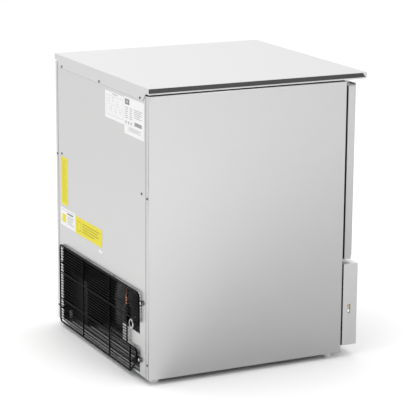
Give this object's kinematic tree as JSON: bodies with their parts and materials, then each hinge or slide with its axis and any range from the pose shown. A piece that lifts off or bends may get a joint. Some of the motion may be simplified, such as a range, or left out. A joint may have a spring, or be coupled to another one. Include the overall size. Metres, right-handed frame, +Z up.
{
  "type": "under-counter ice maker",
  "caption": "Free-standing under-counter ice maker: stainless cabinet and worktop, insulated bin behind a hinged door, freezing unit, and a rear machine room behind a wire guard.",
  "frame": {"origin": "on the floor, at the middle of the overall footprint", "axes": "+Z up; the door faces -Y, the wire guard faces +Y, +X is on the right of someone facing the door, where the door's hinges are"},
  "size_m": [0.645, 0.6554, 0.8],
  "materials": {
    "stainless_steel": "fine brushed stainless sheet",
    "rear_sheet": "smooth bright sheet",
    "galvanised_steel": "zinc-coated sheet",
    "unit_steel": "folded stainless bracketry",
    "black_plastic": "fine-textured moulded plastic",
    "board": "pale composite board",
    "dark_foam": "open-cell acoustic foam",
    "insulation_foam": "rigid expanded foam",
    "white_liner": "vacuum-formed plastic",
    "dark_rubber": "matt moulded rubber",
    "foot_plastic": "moulded plastic",
    "nylon": "moulded nylon",
    "black_gloss": "glossy moulded plastic",
    "green_plastic": "glossy moulded plastic",
    "amber_lens": "tinted lens",
    "black_wire": "semi-gloss powder coat on wire",
    "screw_steel": "bright zinc plate",
    "brass_fastener": "turned brass",
    "black_paint": "semi-gloss black enamel",
    "fin_aluminium": "mill finish fins",
    "copper_pipe": "drawn copper, slightly oxidised",
    "evaporator_metal": "tin-plated copper",
    "grey_plastic": "moulded plastic",
    "clear_plastic": "translucent moulded sheet",
    "silicone_hose": "smooth silicone hose",
    "label_film": "printed film, yellow or white"
  },
  "bodies": {
    "cabinet": {"base_pan": "galvanised_steel", "brass_screws": "brass_fastener", "cabinet_frame": "galvanised_steel", "cable_gland": "black_plastic", "compressor": "black_paint", "compressor_grommets": "dark_rubber", "condenser_fins": "fin_aluminium", "condenser_tubes": "copper_pipe", "connection_plate": "galvanised_steel", "control_bezel": "black_plastic", "control_box": "black_plastic", "copper_lines": "copper_pipe", "drain_outlet": "black_plastic", "edge_strips": "black_plastic", "evaporator": "evaporator_metal", "evaporator_coil": "copper_pipe", "fan_motor": "black_paint", "fan_shroud": "black_paint", "filter_drier": "copper_pipe", "foam_linings": "dark_foam", "indicator_lamps": "amber_lens", "inner_liner": "white_liner", "insulation_slabs": "insulation_foam", "left_side_panel": "stainless_steel", "louvre_grille": "black_plastic", "lower_front_panel": "stainless_steel", "lower_hinge": "galvanised_steel", "nylon_bushes": "nylon", "panel_brackets": "galvanised_steel", "panel_screws": "screw_steel", "rear_guard": "black_wire", "rear_labels": "label_film", "rear_panel": "rear_sheet", "right_side_panel": "stainless_steel", "terminal_cover": "black_plastic", "unit_frame": "unit_steel", "upper_hinge": "galvanised_steel", "water_distributor": "grey_plastic", "water_hoses": "silicone_hose", "water_inlet_valve": "grey_plastic", "water_pump": "grey_plastic", "water_trough": "white_liner", "worktop": "stainless_steel", "worktop_board": "board"},
    "door": {"door_skin": "stainless_steel", "door_insulation": "insulation_foam", "door_liner": "white_liner", "door_gasket": "dark_rubber", "handle_profile": "stainless_steel", "door_end_caps": "grey_plastic", "hinge_bushes": "nylon"},
    "front_left_foot": {"front_left_foot": "foot_plastic"},
    "front_right_foot": {"front_right_foot": "foot_plastic"},
    "rear_left_foot": {"rear_left_foot": "foot_plastic"},
    "rear_right_foot": {"rear_right_foot": "foot_plastic"},
    "curtain": {"water_curtain": "clear_plastic"},
    "fan": {"fan_blade": "black_plastic"},
    "impeller": {"pump_impeller": "nylon"},
    "rocker": {"rocker_switch": "black_gloss"},
    "button": {"clean_button": "green_plastic"}
  },
  "joints": [
    {"name": "door_hinge", "type": "hinge", "parent": "cabinet", "child": "door", "pos_m": [0.306, -0.29675, 0.52], "axis": [0, 0, 1], "range_deg": [0, 110]},
    {"name": "curtain_hinge", "type": "hinge", "parent": "cabinet", "child": "curtain", "pos_m": [0, 0.14325, 0.702], "axis": [-1, 0, 0], "range_deg": [0, 35]},
    {"name": "fan_spin", "type": "hinge", "parent": "cabinet", "child": "fan", "pos_m": [0.12, -0.18, 0.127], "axis": [0, 1, 0], "continuous": true},
    {"name": "pump_spin", "type": "hinge", "parent": "cabinet", "child": "impeller", "pos_m": [0.188, 0.17825, 0.54], "axis": [0, 0, 1], "continuous": true},
    {"name": "power_rocker", "type": "hinge", "parent": "cabinet", "child": "rocker", "pos_m": [0.152, -0.30775, 0.24], "axis": [0, 0, -1], "range_deg": [0, 12]},
    {"name": "clean_press", "type": "slide", "parent": "cabinet", "child": "button", "axis": [0, 1, 0], "range_m": [0, 0.003], "stiffness_N_per_m": 400},
    {"name": "front_left_foot_adjust", "type": "slide", "parent": "cabinet", "child": "front_left_foot", "axis": [0, 0, -1], "range_m": [0, 0.008]},
    {"name": "front_right_foot_adjust", "type": "slide", "parent": "cabinet", "child": "front_right_foot", "axis": [0, 0, -1], "range_m": [0, 0.008]},
    {"name": "rear_left_foot_adjust", "type": "slide", "parent": "cabinet", "child": "rear_left_foot", "axis": [0, 0, -1], "range_m": [0, 0.008]},
    {"name": "rear_right_foot_adjust", "type": "slide", "parent": "cabinet", "child": "rear_right_foot", "axis": [0, 0, -1], "range_m": [0, 0.008]}
  ]
}
